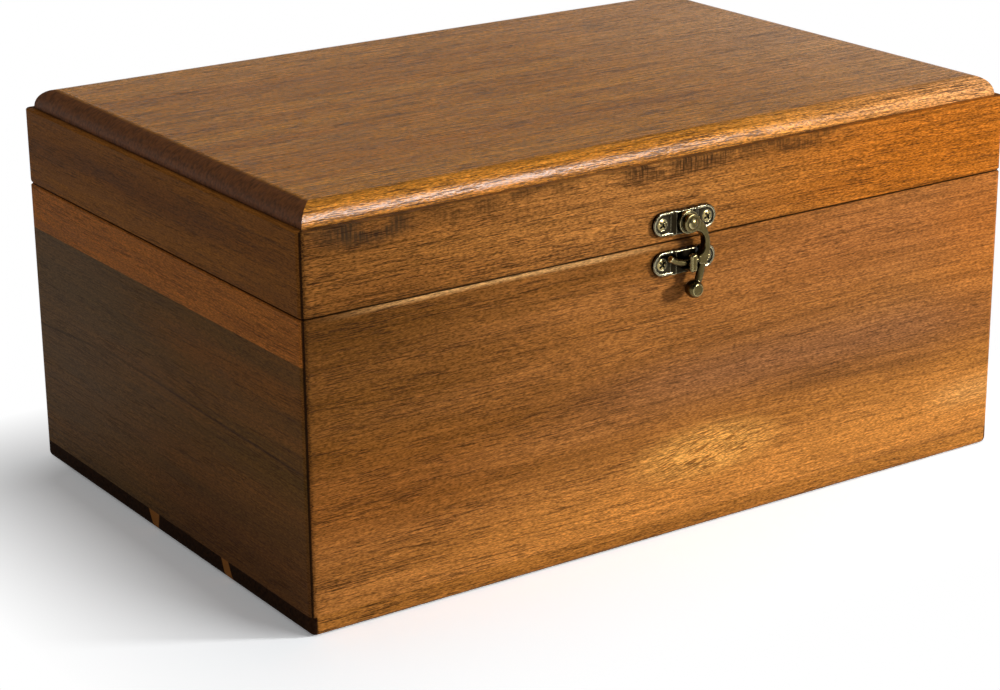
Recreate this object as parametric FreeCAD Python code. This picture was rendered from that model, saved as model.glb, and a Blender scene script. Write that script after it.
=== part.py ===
import FreeCAD, Part
import math
import os

from FreeCAD import Placement, Rotation, Vector

# Hinged wooden keepsake box with a swing-hook latch.
# Frame: origin at the centre of the underside, +X to the right along the front, +Y to the rear, +Z up.
# All sizes are in millimetres and all angles in degrees.

# Box body
LENGTH = 305.0
DEPTH = 203.0
BASE_HEIGHT = 110.0
WALL = 10.0
BOTTOM_THICKNESS = 7.0
CORNER_RADIUS = 2.6
BOTTOM_EDGE_RADIUS = 2.4
RIM_EASING = 0.5

# The left wall is glued up from two staves; its glue line drops a little towards the rear
UPPER_STAVE_FRONT = 15.8
UPPER_STAVE_REAR = 16.8

# Lid
SEAM_GAP = 0.5
LID_RAIL_HEIGHT = 28.5
RAIL_TOP_EASING = 0.4
REAR_BEVEL_DEPTH = 3.6
REAR_BEVEL_HEIGHT = 2.6
PANEL_LEDGE = 3.0
PANEL_ROUND = 7.0
PANEL_EDGE_FLAT = 0.3
PANEL_FIELD_DEPTH = 2.0
PANEL_FIELD_CLEARANCE = 0.3

# Butt hinges, leaves let into the rims and barrels standing behind the back
HINGE_FROM_END = 57.5
HINGE_LENGTH = 25.0
HINGE_LEAF_WIDTH = 7.5
HINGE_LEAF_THICKNESS = 1.0
HINGE_BARREL_RADIUS = 2.0
HINGE_BARREL_STANDOFF = 0.3
HINGE_MIDDLE_KNUCKLE = 9.0
HINGE_KNUCKLE_GAP = 0.3
HINGE_PIN_RADIUS = 1.0
HINGE_PIN_HEAD_RADIUS = 1.5
HINGE_PIN_HEAD_LENGTH = 0.6
HINGE_SCREW_SPACING = 15.0
HINGE_SCREW_INSET = 4.2
MORTISE_CLEARANCE = 0.1
PIN_CLEARANCE = 0.05

# Hinge screws, flat countersunk heads
HINGE_SCREW_HEAD_RADIUS = 1.8
HINGE_SCREW_SHANK_RADIUS = 0.9
HINGE_SCREW_LENGTH = 9.0
HINGE_SCREW_DOME = 0.0

# Latch plates, two alike: one on the lid and one on the base
PLATE_LENGTH = 27.0
PLATE_HEIGHT = 8.7
PLATE_THICKNESS = 1.4
PLATE_EDGE_BEVEL = 0.35
PLATE_RIM_WIDTH = 0.9
PLATE_DISH_DEPTH = 0.4
PAD_RISE = 0.6
PAD_TOP_LENGTH = 8.4
PAD_FOOT_LENGTH = 12.0
PLATE_SCREW_SPACING = 19.5
LATCH_PLATE_ABOVE_SEAM = 6.9
KEEPER_PLATE_BELOW_SEAM = 7.4

# Latch screws, raised countersunk heads
LATCH_SCREW_HEAD_RADIUS = 2.05
LATCH_SCREW_SHANK_RADIUS = 1.0
LATCH_SCREW_LENGTH = 7.5
LATCH_SCREW_DOME = 0.45

# Screw details shared by both sizes
SCREW_CLEARANCE = 0.05
SCREW_CONE_ANGLE = 45.0
SCREW_POINT_LENGTH = 1.5
CROSS_ARM_WIDTH_SHARE = 0.42
CROSS_REACH_SHARE = 0.74
CROSS_DEPTH = 0.85
CROSS_TURN = 45.0
CROSS_TURN_STEP = -13.0

# Swing hook, placed from the rivet; X to the right, Z up, O outwards from the box front
HOOK_BACK = 2.6
EYE_COLLAR_RADIUS = 4.1
EYE_COLLAR_FRONT = 3.8
EYE_BOSS_RADIUS = 3.4
EYE_BOSS_FRONT = 5.9
EYE_BOSS_EDGE = 0.5
ARM_BACK = 2.4
ARM_FRONT = 5.5
ARM_EDGE_ROUND = 0.75
MOUTH_CENTRE_X = 1.2
MOUTH_CENTRE_Z = -8.0
MOUTH_RADIUS = 4.85
FINGER_RADIUS = 1.15
FINGER_CENTRE_OUT = 3.95
FINGER_PATH_RADIUS = 14.4
FINGER_ROOT_ANGLE = -70.0
FINGER_TIP_ANGLE = -126.0
TAIL_RADIUS = 1.4
KNOB_X = 2.2
KNOB_Z = -24.4
KNOB_RADIUS = 3.25
KNOB_FLAT_OUT = 6.45

# Outline of the flat arm, outside edge from the eye down to the web where finger and tail start
ARM_OUTER_START = (2.0, 2.7)
ARM_OUTER_SHOULDER = (6.1, -1.8)
ARM_OUTER_MIDDLE = (8.1, -7.2)
ARM_OUTER_LOWER = (7.9, -12.2)
ARM_OUTER_END = (6.5, -15.9)
WEB_LOWER_LEFT = (3.4, -15.2)
WEB_UPPER_LEFT = (3.1, -12.46)
ARM_INNER_END = (2.2, -3.25)
TAIL_START = (5.2, -15.3)
TAIL_MIDDLE = (4.75, -19.1)

# Rivet through the latch plate and the eye of the hook
RIVET_SHANK_RADIUS = 1.4
RIVET_HEAD_RADIUS = 2.1
RIVET_HEAD_RISE = 1.1
RIVET_HEAD_GAP = 0.1

# Keeper catch: a lower leg and an upright tongue that the finger of the hook lies behind
CATCH_WIDTH = 2.9
CATCH_HEIGHT = 6.4
CATCH_LIFT = 0.2
CATCH_FRONT = 7.1
CATCH_TONGUE_THICKNESS = 1.65
CATCH_LEG_THICKNESS = 1.1
CATCH_CORNER_ROUND = 0.9
CATCH_EDGE_BEVEL = 0.55

# Margin by which cutting tools run past the material they cut
OVERRUN = 1.0

# Levels and planes worked out from the sizes above
LID_BOTTOM = BASE_HEIGHT + SEAM_GAP
RAIL_TOP = LID_BOTTOM + LID_RAIL_HEIGHT
PANEL_TOP = RAIL_TOP + PANEL_ROUND + PANEL_EDGE_FLAT
SEAM_MIDDLE = BASE_HEIGHT + SEAM_GAP / 2
FRONT_Y = -DEPTH / 2
BACK_Y = DEPTH / 2
HINGE_AXIS_Y = BACK_Y + HINGE_BARREL_RADIUS + HINGE_BARREL_STANDOFF
HINGE_AXIS_Z = SEAM_MIDDLE
RIVET_Z = SEAM_MIDDLE + LATCH_PLATE_ABOVE_SEAM
KEEPER_Z = SEAM_MIDDLE - KEEPER_PLATE_BELOW_SEAM
PAD_FRONT = PLATE_THICKNESS + PAD_RISE
PLATE_FLOOR = PLATE_THICKNESS - PLATE_DISH_DEPTH
HINGE_SPACING = LENGTH - 2 * HINGE_FROM_END

X_AXIS = Vector(1, 0, 0)
Y_AXIS = Vector(0, 1, 0)
Z_AXIS = Vector(0, 0, 1)


def block(low, high):
    """A plain box between two opposite corners."""
    return Part.makeBox(high[0] - low[0], high[1] - low[1], high[2] - low[2], Vector(*low))


def cylinder(radius, start, direction, length):
    """A solid cylinder that starts at a point and runs along a direction."""
    return Part.makeCylinder(radius, length, Vector(*start), direction)


def face_from_points(points):
    """A flat face with straight sides through the given corners."""
    corners = [Vector(*point) for point in points]
    return Part.Face(Part.makePolygon(corners + corners[:1]))


def upright_edges(shape):
    """The straight edges that run parallel to Z."""
    found = []
    for edge in shape.Edges:
        start = edge.Vertexes[0].Point
        end = edge.Vertexes[-1].Point
        if abs(start.x - end.x) < 1e-6 and abs(start.y - end.y) < 1e-6 and len(edge.Vertexes) == 2:
            found.append(edge)
    return found


def edges_at_height(shape, height):
    """The edges whose whole length lies at one height."""
    found = []
    for edge in shape.Edges:
        box = edge.BoundBox
        if abs(box.ZMin - height) < 1e-6 and abs(box.ZMax - height) < 1e-6:
            found.append(edge)
    return found


def rounded_block(low, high, radius):
    """A box with its four upright corners rounded."""
    plain = block(low, high)
    return plain.makeFillet(radius, upright_edges(plain))


# Wooden walls and rails


def mitre_wedge(side, bottom, top):
    """The space of one side of the box in plan, bounded by the mitre planes at its two corners."""
    out_x = LENGTH / 2 + OVERRUN
    out_y = DEPTH / 2 + OVERRUN
    run_in = WALL + 2 * OVERRUN
    in_x = out_x - run_in
    in_y = out_y - run_in
    outlines = {
        "front": [(-out_x, -out_y), (out_x, -out_y), (in_x, -in_y), (-in_x, -in_y)],
        "back": [(out_x, out_y), (-out_x, out_y), (-in_x, in_y), (in_x, in_y)],
        "left": [(-out_x, out_y), (-out_x, -out_y), (-in_x, -in_y), (-in_x, in_y)],
        "right": [(out_x, -out_y), (out_x, out_y), (in_x, in_y), (in_x, -in_y)],
    }
    corners = [(x, y, bottom) for x, y in outlines[side]]
    return face_from_points(corners).extrude(Vector(0, 0, top - bottom))


def cavity(bottom, top):
    """The room inside the four walls between two heights."""
    half_x = LENGTH / 2 - WALL
    half_y = DEPTH / 2 - WALL
    return block((-half_x, -half_y, bottom), (half_x, half_y, top))


def base_outside():
    """The outer form of the base: rounded corners, rounded bottom edge, eased rim."""
    low = (-LENGTH / 2, FRONT_Y, 0)
    high = (LENGTH / 2, BACK_Y, BASE_HEIGHT)
    form = rounded_block(low, high, CORNER_RADIUS)
    bottom_radius = min(BOTTOM_EDGE_RADIUS, 0.95 * CORNER_RADIUS, 0.9 * BOTTOM_THICKNESS)
    form = form.makeFillet(bottom_radius, edges_at_height(form, 0))
    return form.makeChamfer(min(RIM_EASING, 0.9 * CORNER_RADIUS), edges_at_height(form, BASE_HEIGHT))


def bottom_board():
    """The solid board under the walls, with the same outline as the box."""
    slab = block((-LENGTH, -DEPTH, -OVERRUN), (LENGTH, DEPTH, BOTTOM_THICKNESS))
    return base_outside().common(slab)


def base_wall(side):
    """One mitred wall of the base, standing on the bottom board."""
    ring = base_outside().cut(cavity(BOTTOM_THICKNESS, BASE_HEIGHT + OVERRUN))
    wall = ring.common(mitre_wedge(side, BOTTOM_THICKNESS, BASE_HEIGHT + OVERRUN))
    if side == "back":
        for centre_x in hinge_centres():
            wall = wall.cut(leaf_mortise(centre_x, "base"))
        for place in hinge_screw_places("base"):
            wall = wall.cut(screw_pilot(HINGE_SCREW, place))
    if side == "front":
        for place in plate_screw_places(KEEPER_Z):
            wall = wall.cut(screw_pilot(LATCH_SCREW, place))
    return wall


def left_wall_staves():
    """The left wall, split along its glue line into a lower and an upper stave."""
    wall = base_wall("left")
    out_x = -LENGTH / 2 - OVERRUN
    slope = (UPPER_STAVE_REAR - UPPER_STAVE_FRONT) / DEPTH
    front_z = BASE_HEIGHT - UPPER_STAVE_FRONT + slope * OVERRUN
    rear_z = BASE_HEIGHT - UPPER_STAVE_REAR - slope * OVERRUN
    corners = [
        (out_x, FRONT_Y - OVERRUN, front_z),
        (out_x, BACK_Y + OVERRUN, rear_z),
        (out_x, BACK_Y + OVERRUN, BASE_HEIGHT + OVERRUN),
        (out_x, FRONT_Y - OVERRUN, BASE_HEIGHT + OVERRUN),
    ]
    above = face_from_points(corners).extrude(Vector(WALL + 3 * OVERRUN, 0, 0))
    return wall.cut(above), wall.common(above)


def lid_rail(side):
    """One mitred rail of the lid; the rear one is bevelled along its lower outer edge."""
    low = (-LENGTH / 2, FRONT_Y, LID_BOTTOM)
    high = (LENGTH / 2, BACK_Y, RAIL_TOP)
    form = rounded_block(low, high, CORNER_RADIUS)
    form = form.makeChamfer(min(RIM_EASING, 0.9 * CORNER_RADIUS), edges_at_height(form, LID_BOTTOM))
    form = form.makeChamfer(min(RAIL_TOP_EASING, 0.9 * CORNER_RADIUS), edges_at_height(form, RAIL_TOP))
    bevel = face_from_points([
        (-LENGTH, BACK_Y - REAR_BEVEL_DEPTH, LID_BOTTOM),
        (-LENGTH, BACK_Y, LID_BOTTOM + REAR_BEVEL_HEIGHT),
        (-LENGTH, BACK_Y + OVERRUN, LID_BOTTOM + REAR_BEVEL_HEIGHT),
        (-LENGTH, BACK_Y + OVERRUN, LID_BOTTOM - OVERRUN),
        (-LENGTH, BACK_Y - REAR_BEVEL_DEPTH, LID_BOTTOM - OVERRUN),
    ]).extrude(Vector(2 * LENGTH, 0, 0))
    form = form.cut(bevel)
    form = form.cut(cavity(LID_BOTTOM - OVERRUN, RAIL_TOP + OVERRUN))
    rail = form.common(mitre_wedge(side, LID_BOTTOM - OVERRUN, RAIL_TOP + OVERRUN))
    if side == "back":
        for centre_x in hinge_centres():
            rail = rail.cut(leaf_mortise(centre_x, "lid"))
        for place in hinge_screw_places("lid"):
            rail = rail.cut(screw_pilot(HINGE_SCREW, place))
    if side == "front":
        for place in plate_screw_places(RIVET_Z):
            rail = rail.cut(screw_pilot(LATCH_SCREW, place))
    return rail


def rounded_top_profile(half_width, place):
    """Half-width section of the lid panel with a quarter round at each upper corner."""
    top = PANEL_TOP
    turn = PANEL_ROUND * (1 - math.cos(math.radians(45)))
    left_start = place(-half_width, top - PANEL_ROUND)
    left_middle = place(-half_width + turn, top - turn)
    left_end = place(-half_width + PANEL_ROUND, top)
    right_start = place(half_width - PANEL_ROUND, top)
    right_middle = place(half_width - turn, top - turn)
    right_end = place(half_width, top - PANEL_ROUND)
    lower_right = place(half_width, RAIL_TOP)
    lower_left = place(-half_width, RAIL_TOP)
    outline = Part.Wire([
        Part.makeLine(lower_left, left_start),
        Part.Arc(left_start, left_middle, left_end).toShape(),
        Part.makeLine(left_end, right_start),
        Part.Arc(right_start, right_middle, right_end).toShape(),
        Part.makeLine(right_end, lower_right),
        Part.makeLine(lower_right, lower_left),
    ])
    return Part.Face(outline)


def lid_top_panel():
    """The board on top of the rails: quarter-round edges, and a field let in between the rails."""
    half_x = LENGTH / 2 - PANEL_LEDGE
    half_y = DEPTH / 2 - PANEL_LEDGE
    along_x = rounded_top_profile(half_y, lambda y, z: Vector(-half_x, y, z))
    along_y = rounded_top_profile(half_x, lambda x, z: Vector(x, -half_y, z))
    board = along_x.extrude(Vector(2 * half_x, 0, 0)).common(along_y.extrude(Vector(0, 2 * half_y, 0)))
    field_x = LENGTH / 2 - WALL - PANEL_FIELD_CLEARANCE
    field_y = DEPTH / 2 - WALL - PANEL_FIELD_CLEARANCE
    field = block((-field_x, -field_y, RAIL_TOP - PANEL_FIELD_DEPTH), (field_x, field_y, RAIL_TOP))
    return board.fuse(field).removeSplitter()


# Screws


class ScrewSize:
    """The sizes of one kind of countersunk cross-head wood screw."""

    def __init__(self, head_radius, shank_radius, length, dome):
        self.head_radius = head_radius
        self.shank_radius = shank_radius
        self.length = length
        self.dome = dome
        self.cone_height = (head_radius - shank_radius) / math.tan(math.radians(SCREW_CONE_ANGLE))


HINGE_SCREW = ScrewSize(
    HINGE_SCREW_HEAD_RADIUS, HINGE_SCREW_SHANK_RADIUS, HINGE_SCREW_LENGTH, HINGE_SCREW_DOME
)
LATCH_SCREW = ScrewSize(
    LATCH_SCREW_HEAD_RADIUS, LATCH_SCREW_SHANK_RADIUS, LATCH_SCREW_LENGTH, LATCH_SCREW_DOME
)


def screw_solid(size, place, cross_turn):
    """A wood screw; before it is placed, its head looks up and the rim of its head is at height zero."""
    half_profile = [
        Vector(0, 0, -size.length),
        Vector(size.shank_radius, 0, SCREW_POINT_LENGTH - size.length),
        Vector(size.shank_radius, 0, -size.cone_height),
        Vector(size.head_radius, 0, 0),
    ]
    edges = []
    for start, end in zip(half_profile, half_profile[1:]):
        edges.append(Part.makeLine(start, end))
    rim = half_profile[-1]
    crown = Vector(0, 0, size.dome)
    if size.dome > 0:
        ball_radius = (size.head_radius ** 2 + size.dome ** 2) / (2 * size.dome)
        half_turn = math.asin(size.head_radius / ball_radius) / 2
        middle_x = ball_radius * math.sin(half_turn)
        middle_z = size.dome - ball_radius * (1 - math.cos(half_turn))
        edges.append(Part.Arc(rim, Vector(middle_x, 0, middle_z), crown).toShape())
    else:
        edges.append(Part.makeLine(rim, crown))
    edges.append(Part.makeLine(crown, half_profile[0]))
    body = Part.Face(Part.Wire(edges)).revolve(Vector(0, 0, 0), Z_AXIS, 360)
    reach = CROSS_REACH_SHARE * size.head_radius
    half_arm = CROSS_ARM_WIDTH_SHARE * size.head_radius / 2
    floor = size.dome - CROSS_DEPTH
    arm_along_x = block((-reach, -half_arm, floor), (reach, half_arm, size.dome + OVERRUN))
    arm_along_y = block((-half_arm, -reach, floor), (half_arm, reach, size.dome + OVERRUN))
    cross = arm_along_x.fuse(arm_along_y)
    cross.rotate(Vector(0, 0, 0), Z_AXIS, cross_turn)
    body = body.cut(cross)
    body.Placement = place
    return body


def screw_group(size, places):
    """Alike screws as one group, each left at its own angle as screws are."""
    screws = []
    for index, place in enumerate(places):
        screws.append(screw_solid(size, place, CROSS_TURN + index * CROSS_TURN_STEP))
    return Part.Compound(screws)


def screw_pilot(size, place):
    """The hole that a screw makes in wood, with a little room round the shank and past the point."""
    radius = size.shank_radius + SCREW_CLEARANCE
    depth = size.length + SCREW_CLEARANCE
    hole = cylinder(radius, (0, 0, -depth), Z_AXIS, depth)
    cone = screw_cone(size)
    hole = hole.fuse(cone)
    hole.Placement = place
    return hole


def screw_cone(size):
    """The countersink for a screw head, up to just above the head's rim."""
    low_radius = size.shank_radius + SCREW_CLEARANCE
    high_radius = size.head_radius + SCREW_CLEARANCE
    sink = Part.makeCone(low_radius, high_radius, size.cone_height, Vector(0, 0, -size.cone_height), Z_AXIS)
    mouth = cylinder(high_radius, (0, 0, 0), Z_AXIS, OVERRUN)
    return sink.fuse(mouth)


def screw_hole_in_metal(size, place):
    """A countersunk clearance hole through a plate."""
    shaft = cylinder(size.shank_radius + SCREW_CLEARANCE, (0, 0, -size.length), Z_AXIS, size.length)
    hole = shaft.fuse(screw_cone(size))
    hole.Placement = place
    return hole


# Hinges


def hinge_centres():
    """The middles of the two hinges along the back."""
    return (-HINGE_SPACING / 2, HINGE_SPACING / 2)


def hinge_screw_places(body):
    """Where the hinge screws sit, heads flush with the face of the leaf."""
    places = []
    screw_y = BACK_Y - HINGE_SCREW_INSET
    for centre_x in hinge_centres():
        for side in (-1, 1):
            screw_x = centre_x + side * HINGE_SCREW_SPACING / 2
            if body == "base":
                places.append(Placement(Vector(screw_x, screw_y, BASE_HEIGHT), Rotation()))
            else:
                upside_down = Rotation(X_AXIS, 180)
                places.append(Placement(Vector(screw_x, screw_y, LID_BOTTOM), upside_down))
    return places


def leaf_levels(body):
    """The lowest and highest height of a hinge leaf, let flush into its rim."""
    if body == "base":
        return BASE_HEIGHT - HINGE_LEAF_THICKNESS, BASE_HEIGHT
    return LID_BOTTOM, LID_BOTTOM + HINGE_LEAF_THICKNESS


def leaf_mortise(centre_x, body):
    """The recess in a rim that a hinge leaf lies in, open to the rear."""
    low_z, high_z = leaf_levels(body)
    half = HINGE_LENGTH / 2 + MORTISE_CLEARANCE
    front = BACK_Y - HINGE_LEAF_WIDTH - MORTISE_CLEARANCE
    if body == "base":
        high_z += OVERRUN
    else:
        low_z -= OVERRUN
    return block((centre_x - half, front, low_z), (centre_x + half, BACK_Y + OVERRUN, high_z))


def knuckle_spans(body):
    """Start and end of each barrel knuckle of one leaf, measured from the middle of the hinge."""
    half_middle = HINGE_MIDDLE_KNUCKLE / 2
    half_length = HINGE_LENGTH / 2
    if body == "lid":
        return [(-half_middle, half_middle)]
    outer_start = half_middle + HINGE_KNUCKLE_GAP
    return [(-half_length, -outer_start), (outer_start, half_length)]


def hinge_leaf(centre_x, body):
    """One leaf with its knuckles, cleared round the knuckles of the other leaf."""
    low_z, high_z = leaf_levels(body)
    half = HINGE_LENGTH / 2
    front = BACK_Y - HINGE_LEAF_WIDTH
    leaf = block((centre_x - half, front, low_z), (centre_x + half, HINGE_AXIS_Y, high_z))
    other = "base" if body == "lid" else "lid"
    for start, end in knuckle_spans(other):
        room_start = centre_x + start - HINGE_KNUCKLE_GAP
        room_length = end - start + 2 * HINGE_KNUCKLE_GAP
        room_radius = HINGE_BARREL_RADIUS + HINGE_KNUCKLE_GAP
        room = cylinder(room_radius, (room_start, HINGE_AXIS_Y, HINGE_AXIS_Z), X_AXIS, room_length)
        leaf = leaf.cut(room)
    for start, end in knuckle_spans(body):
        place = (centre_x + start, HINGE_AXIS_Y, HINGE_AXIS_Z)
        leaf = leaf.fuse(cylinder(HINGE_BARREL_RADIUS, place, X_AXIS, end - start))
    bore_start = (centre_x - half - OVERRUN, HINGE_AXIS_Y, HINGE_AXIS_Z)
    bore = cylinder(HINGE_PIN_RADIUS + PIN_CLEARANCE, bore_start, X_AXIS, HINGE_LENGTH + 2 * OVERRUN)
    leaf = leaf.cut(bore)
    for place in hinge_screw_places(body):
        if abs(place.Base.x - centre_x) < half:
            leaf = leaf.cut(screw_hole_in_metal(HINGE_SCREW, place))
    return leaf.removeSplitter()


def hinge_pin(centre_x):
    """The pin that both leaves turn on, with a flat head at each end."""
    half = HINGE_LENGTH / 2 + PIN_CLEARANCE
    shaft = cylinder(HINGE_PIN_RADIUS, (centre_x - half, HINGE_AXIS_Y, HINGE_AXIS_Z), X_AXIS, 2 * half)
    pin = shaft
    for start in (centre_x - half - HINGE_PIN_HEAD_LENGTH, centre_x + half):
        head_place = (start, HINGE_AXIS_Y, HINGE_AXIS_Z)
        pin = pin.fuse(cylinder(HINGE_PIN_HEAD_RADIUS, head_place, X_AXIS, HINGE_PIN_HEAD_LENGTH))
    return pin.removeSplitter()


# Latch
# Latch pieces are drawn flat, with X to the right, Y up and Z outwards, and then stood on the box front


def on_front(height):
    """The placement that stands a flat-drawn latch piece on the front of the box at a height."""
    return Placement(Vector(0, FRONT_Y, height), Rotation(X_AXIS, 90))


def plate_screw_places(height):
    """Where the two screws of a latch plate sit, the rims of their heads level with its dished ends."""
    places = []
    for side in (-1, 1):
        centre = Vector(side * PLATE_SCREW_SPACING / 2, 0, PLATE_FLOOR)
        places.append(on_front(height).multiply(Placement(centre, Rotation())))
    return places


def stadium(length, height, thickness):
    """A flat plate with half-round ends."""
    half_straight = (length - height) / 2
    middle = block((-half_straight, -height / 2, 0), (half_straight, height / 2, thickness))
    left_end = cylinder(height / 2, (-half_straight, 0, 0), Z_AXIS, thickness)
    right_end = cylinder(height / 2, (half_straight, 0, 0), Z_AXIS, thickness)
    return middle.fuse([left_end, right_end]).removeSplitter()


def raised_pad():
    """The raised middle of a latch plate, with sloping shoulders left and right."""
    foot = PAD_FOOT_LENGTH / 2
    top = PAD_TOP_LENGTH / 2
    half_height = PLATE_HEIGHT / 2
    profile = face_from_points([
        (-foot, -half_height, 0),
        (foot, -half_height, 0),
        (foot, -half_height, PLATE_FLOOR),
        (top, -half_height, PAD_FRONT),
        (-top, -half_height, PAD_FRONT),
        (-foot, -half_height, PLATE_FLOOR),
    ])
    pad = profile.extrude(Vector(0, PLATE_HEIGHT, 0))
    long_front_edges = []
    for edge in edges_at_height(pad, PAD_FRONT):
        if edge.BoundBox.YLength < 1e-6:
            long_front_edges.append(edge)
    return pad.makeChamfer(PLATE_EDGE_BEVEL, long_front_edges)


def latch_plate_form():
    """The pressed plate that both halves of the latch are built on: a raised rim round two dished ends."""
    plate = stadium(PLATE_LENGTH, PLATE_HEIGHT, PLATE_THICKNESS)
    plate = plate.makeChamfer(PLATE_EDGE_BEVEL, edges_at_height(plate, PLATE_THICKNESS))
    dish = stadium(PLATE_LENGTH - 2 * PLATE_RIM_WIDTH, PLATE_HEIGHT - 2 * PLATE_RIM_WIDTH, PLATE_THICKNESS)
    dish.translate(Vector(0, 0, PLATE_FLOOR))
    plate = plate.cut(dish)
    return plate.fuse(raised_pad()).removeSplitter()


def plate_with_screw_holes(height):
    """A latch plate on the box front, with its two countersunk holes."""
    plate = latch_plate_form()
    plate.Placement = on_front(height)
    for place in plate_screw_places(height):
        plate = plate.cut(screw_hole_in_metal(LATCH_SCREW, place))
    return plate


def latch_plate():
    """The plate on the lid, drilled for the rivet."""
    hole_start = (0, FRONT_Y + OVERRUN, RIVET_Z)
    hole = cylinder(RIVET_SHANK_RADIUS + PIN_CLEARANCE, hole_start, -Y_AXIS, PAD_FRONT + 2 * OVERRUN)
    return plate_with_screw_holes(RIVET_Z).cut(hole)


def latch_rivet():
    """The rivet, from the face of the wood out to its domed head."""
    head_back = EYE_BOSS_FRONT + RIVET_HEAD_GAP
    shank = cylinder(RIVET_SHANK_RADIUS, (0, 0, 0), Z_AXIS, head_back)
    ball_radius = (RIVET_HEAD_RADIUS ** 2 + RIVET_HEAD_RISE ** 2) / (2 * RIVET_HEAD_RISE)
    ball_centre = Vector(0, 0, head_back + RIVET_HEAD_RISE - ball_radius)
    ball = Part.makeSphere(ball_radius, ball_centre)
    slice_of_ball = block(
        (-RIVET_HEAD_RADIUS - OVERRUN, -RIVET_HEAD_RADIUS - OVERRUN, head_back),
        (RIVET_HEAD_RADIUS + OVERRUN, RIVET_HEAD_RADIUS + OVERRUN, head_back + RIVET_HEAD_RISE + OVERRUN),
    )
    rivet = shank.fuse(ball.common(slice_of_ball)).removeSplitter()
    rivet.Placement = on_front(RIVET_Z)
    return rivet


def flat_point(point, out=0.0):
    """A point of the flat drawing at a distance out from the box front."""
    return Vector(point[0], point[1], out)


def point_on_circle(centre, radius, towards):
    """The point of a circle that lies in the direction of another point."""
    away_x = towards[0] - centre[0]
    away_y = towards[1] - centre[1]
    share = radius / math.hypot(away_x, away_y)
    return (centre[0] + away_x * share, centre[1] + away_y * share)


def hook_arm():
    """The flat C of the hook with the web below it, rounded along its front edges."""
    mouth_centre = (MOUTH_CENTRE_X, MOUTH_CENTRE_Z)
    inner_low = point_on_circle(mouth_centre, MOUTH_RADIUS, WEB_UPPER_LEFT)
    inner_high = point_on_circle(mouth_centre, MOUTH_RADIUS, ARM_INNER_END)
    inner_far = (MOUTH_CENTRE_X + MOUTH_RADIUS, MOUTH_CENTRE_Z)
    start = flat_point(ARM_OUTER_START, ARM_BACK)
    middle = flat_point(ARM_OUTER_MIDDLE, ARM_BACK)
    end = flat_point(ARM_OUTER_END, ARM_BACK)
    web_low = flat_point(WEB_LOWER_LEFT, ARM_BACK)
    web_high = flat_point(inner_low, ARM_BACK)
    eye_side = flat_point(inner_high, ARM_BACK)
    outline = Part.Wire([
        Part.Arc(start, flat_point(ARM_OUTER_SHOULDER, ARM_BACK), middle).toShape(),
        Part.Arc(middle, flat_point(ARM_OUTER_LOWER, ARM_BACK), end).toShape(),
        Part.makeLine(end, web_low),
        Part.makeLine(web_low, web_high),
        Part.Arc(web_high, flat_point(inner_far, ARM_BACK), eye_side).toShape(),
        Part.makeLine(eye_side, start),
    ])
    arm = Part.Face(outline).extrude(Vector(0, 0, ARM_FRONT - ARM_BACK))
    return arm.makeFillet(ARM_EDGE_ROUND, edges_at_height(arm, ARM_FRONT))


def hook_eye():
    """The eye of the hook: a collar against the plate and a boss in front of it."""
    collar = cylinder(EYE_COLLAR_RADIUS, (0, 0, HOOK_BACK), Z_AXIS, EYE_COLLAR_FRONT - HOOK_BACK)
    boss = cylinder(EYE_BOSS_RADIUS, (0, 0, HOOK_BACK), Z_AXIS, EYE_BOSS_FRONT - HOOK_BACK)
    boss = boss.makeFillet(EYE_BOSS_EDGE, edges_at_height(boss, EYE_BOSS_FRONT))
    return collar.fuse(boss)


def hook_finger():
    """The round finger that lies behind the keeper's tongue, bent to a circle about the rivet."""
    sweep = FINGER_ROOT_ANGLE - FINGER_TIP_ANGLE
    finger = Part.makeTorus(
        FINGER_PATH_RADIUS, FINGER_RADIUS, Vector(0, 0, FINGER_CENTRE_OUT), Z_AXIS, 0, 360, sweep
    )
    finger.rotate(Vector(0, 0, 0), Z_AXIS, FINGER_TIP_ANGLE)
    return finger


def hook_tail():
    """The round tail from the web down into the knob."""
    knob_centre = flat_point((KNOB_X, KNOB_Z), FINGER_CENTRE_OUT)
    start = flat_point(TAIL_START, FINGER_CENTRE_OUT)
    middle = flat_point(TAIL_MIDDLE, FINGER_CENTRE_OUT)
    path_edge = Part.Arc(start, middle, knob_centre).toShape()
    direction = path_edge.tangentAt(path_edge.FirstParameter)
    section = Part.Wire(Part.makeCircle(TAIL_RADIUS, start, direction))
    bar = Part.Wire(path_edge).makePipeShell([section], True, False)
    return bar.fuse(Part.makeSphere(TAIL_RADIUS, start))


def hook_knob():
    """The ball at the end of the tail, with a flat facing outwards."""
    centre = flat_point((KNOB_X, KNOB_Z), FINGER_CENTRE_OUT)
    ball = Part.makeSphere(KNOB_RADIUS, centre)
    reach = KNOB_RADIUS + OVERRUN
    low = (KNOB_X - reach, KNOB_Z - reach, KNOB_FLAT_OUT)
    high = (KNOB_X + reach, KNOB_Z + reach, KNOB_FLAT_OUT + reach)
    front = block(low, high)
    return ball.cut(front)


def latch_hook():
    """The whole swing hook, cast in one piece."""
    hook = hook_eye().fuse([hook_arm(), hook_finger(), hook_tail(), hook_knob()])
    bore_start = (0, 0, HOOK_BACK - OVERRUN)
    bore_length = EYE_BOSS_FRONT - HOOK_BACK + 2 * OVERRUN
    hook = hook.cut(cylinder(RIVET_SHANK_RADIUS + PIN_CLEARANCE, bore_start, Z_AXIS, bore_length))
    hook = hook.removeSplitter()
    hook.Placement = on_front(RIVET_Z)
    return hook


def keeper_plate():
    """The plate on the base that carries the catch."""
    return plate_with_screw_holes(KEEPER_Z)


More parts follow.
